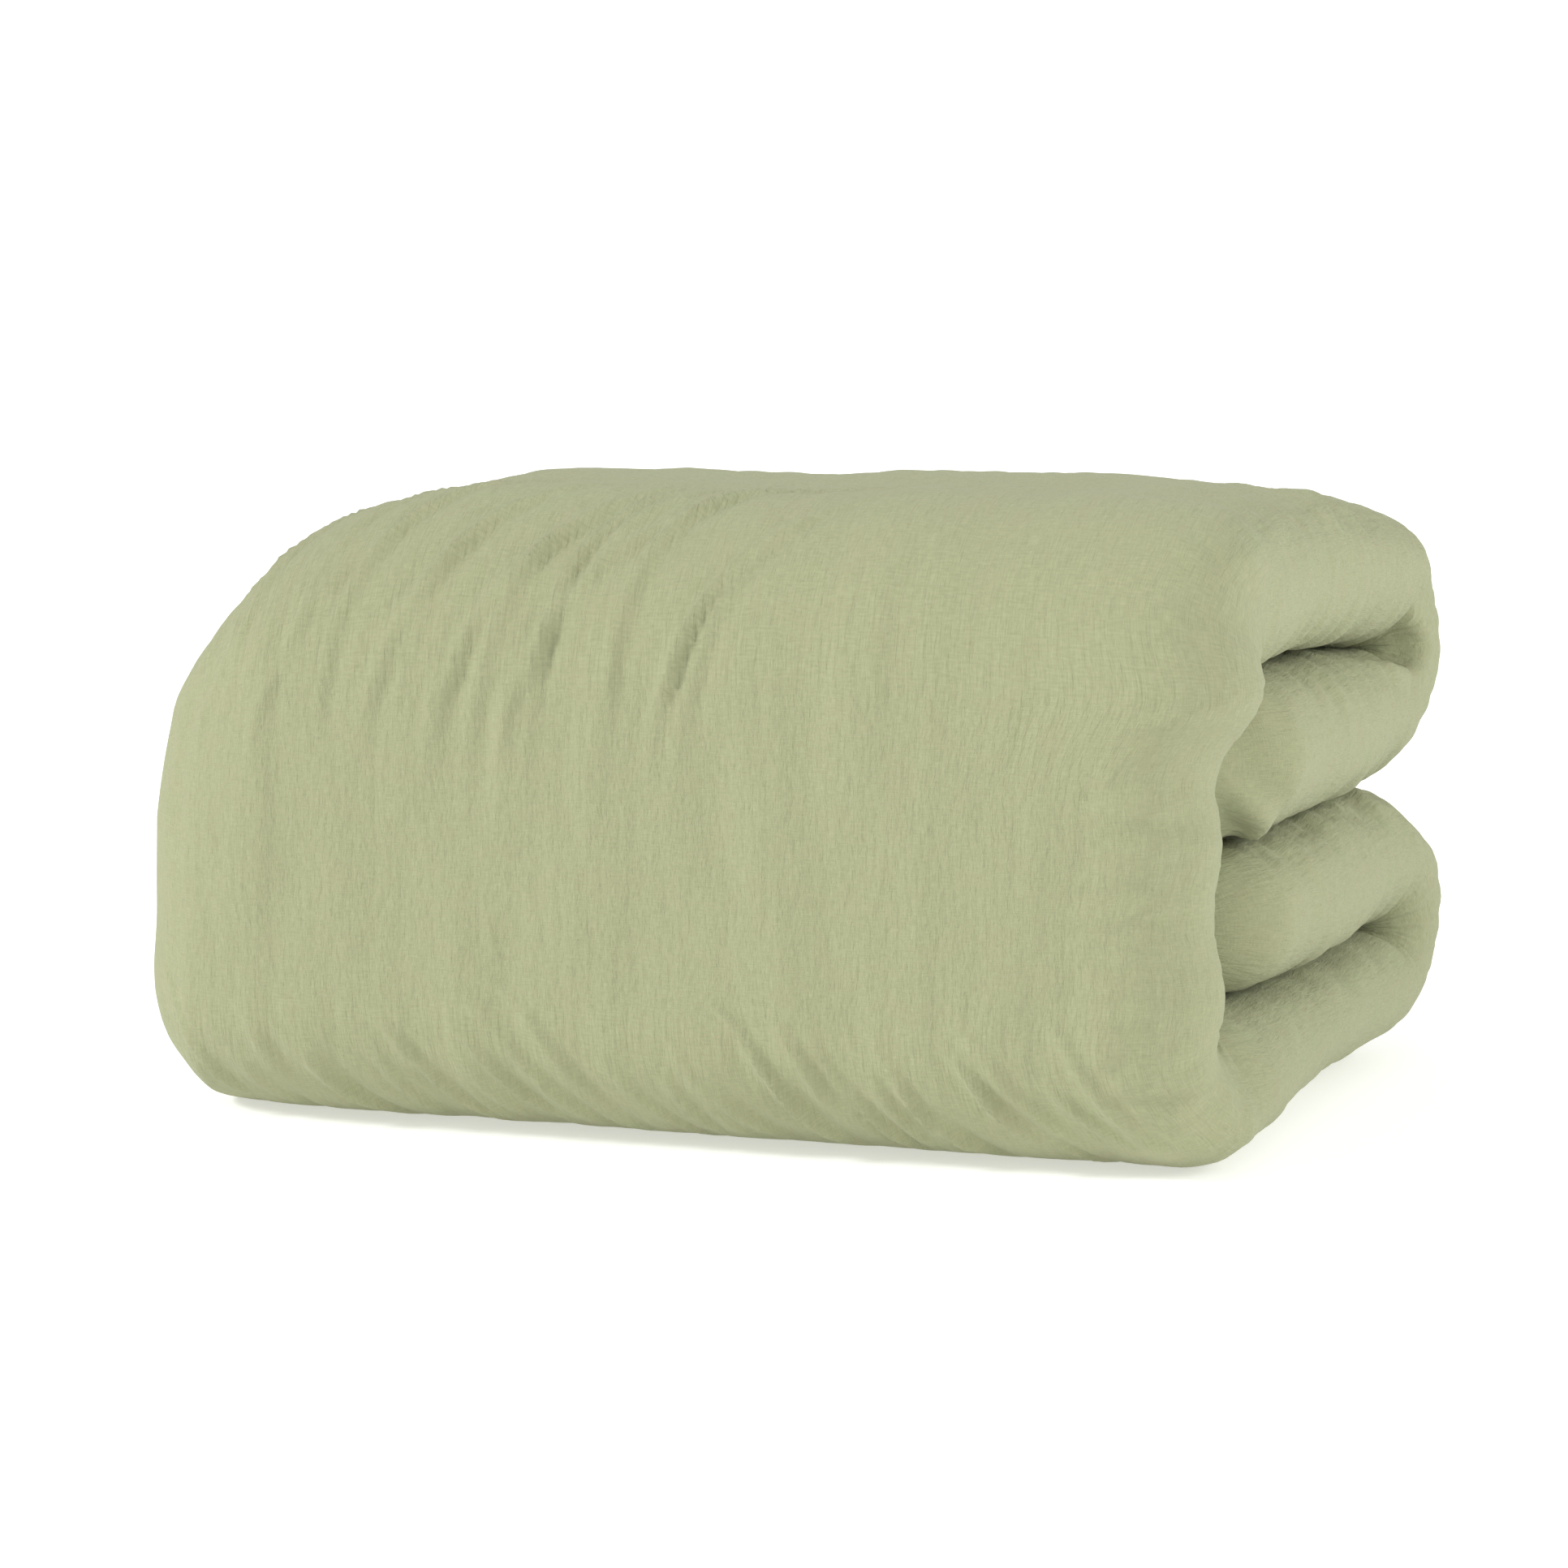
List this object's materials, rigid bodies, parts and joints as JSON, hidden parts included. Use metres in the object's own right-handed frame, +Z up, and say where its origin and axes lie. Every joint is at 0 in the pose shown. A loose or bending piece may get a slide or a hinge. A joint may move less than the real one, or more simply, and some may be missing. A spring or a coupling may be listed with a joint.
{
  "type": "folded duvet",
  "caption": "Plump single duvet in a washed cotton cover, folded into a thick four-layer bundle that opens like a book about its front fold.",
  "frame": {"origin": "middle of the footprint, on the surface that the folded bundle lies on", "axes": "+Z up, +X along the bundle towards the duvet's closed width fold, -Y towards the smooth front fold"},
  "size_m": [0.675, 0.512, 0.37],
  "materials": {
    "cover_face": "matte",
    "cover_reverse": "matte",
    "hem": "matte",
    "insert_shell": "matte",
    "filling": "matte",
    "button": "satin",
    "tape": "matte",
    "label": "matte"
  },
  "bodies": {
    "lower_half": {"cover_face_lower_front_bend": "cover_face", "cover_reverse_lower_front_bend": "cover_reverse", "insert_shell_lower_front_bend": "insert_shell", "filling_lower_front_bend": "filling", "side_hem_a_lower_front_bend": "hem", "side_hem_b_lower_front_bend": "hem", "cover_face_lower_half": "cover_face", "cover_reverse_lower_half": "cover_reverse", "insert_shell_lower_half": "insert_shell", "filling_lower_half": "filling", "side_hem_a_lower_half": "hem", "side_hem_b_lower_half": "hem", "button_band": "hem", "buttonhole_band": "hem", "button_1": "button", "button_2": "button", "button_3": "button", "button_4": "button", "button_5": "button", "button_6": "button", "corner_tie_foot_a": "tape", "corner_tie_foot_b": "tape", "care_label": "label"},
    "front_panel": {"cover_face_front_panel": "cover_face", "cover_reverse_front_panel": "cover_reverse", "insert_shell_front_panel": "insert_shell", "filling_front_panel": "filling", "side_hem_a_front_panel": "hem", "side_hem_b_front_panel": "hem"},
    "upper_half": {"cover_face_upper_half": "cover_face", "cover_reverse_upper_half": "cover_reverse", "insert_shell_upper_half": "insert_shell", "filling_upper_half": "filling", "side_hem_a_upper_half": "hem", "side_hem_b_upper_half": "hem", "cover_face_upper_front_bend": "cover_face", "cover_reverse_upper_front_bend": "cover_reverse", "insert_shell_upper_front_bend": "insert_shell", "filling_upper_front_bend": "filling", "side_hem_a_upper_front_bend": "hem", "side_hem_b_upper_front_bend": "hem", "head_seam": "hem", "corner_tie_head_a": "tape", "corner_tie_head_b": "tape"}
  },
  "joints": [
    {"name": "lower_front_fold", "type": "hinge", "parent": "lower_half", "child": "front_panel", "pos_m": [0, -0.17667, 0.07933], "axis": [1, 0, 0], "range_deg": [0, 90], "deforming": ["cover_face_lower_front_bend", "cover_reverse_lower_front_bend", "insert_shell_lower_front_bend", "filling_lower_front_bend", "side_hem_a_lower_front_bend", "side_hem_b_lower_front_bend"]},
    {"name": "upper_front_fold", "type": "hinge", "parent": "front_panel", "child": "upper_half", "pos_m": [0, -0.15184, 0.26584], "axis": [1, 0, 0], "range_deg": [0, 90], "deforming": ["cover_face_upper_front_bend", "cover_reverse_upper_front_bend", "insert_shell_upper_front_bend", "filling_upper_front_bend", "side_hem_a_upper_front_bend", "side_hem_b_upper_front_bend"]}
  ],
  "couplings": [
    {"joint": "upper_front_fold", "follows": "lower_front_fold", "ratio": 1}
  ]
}
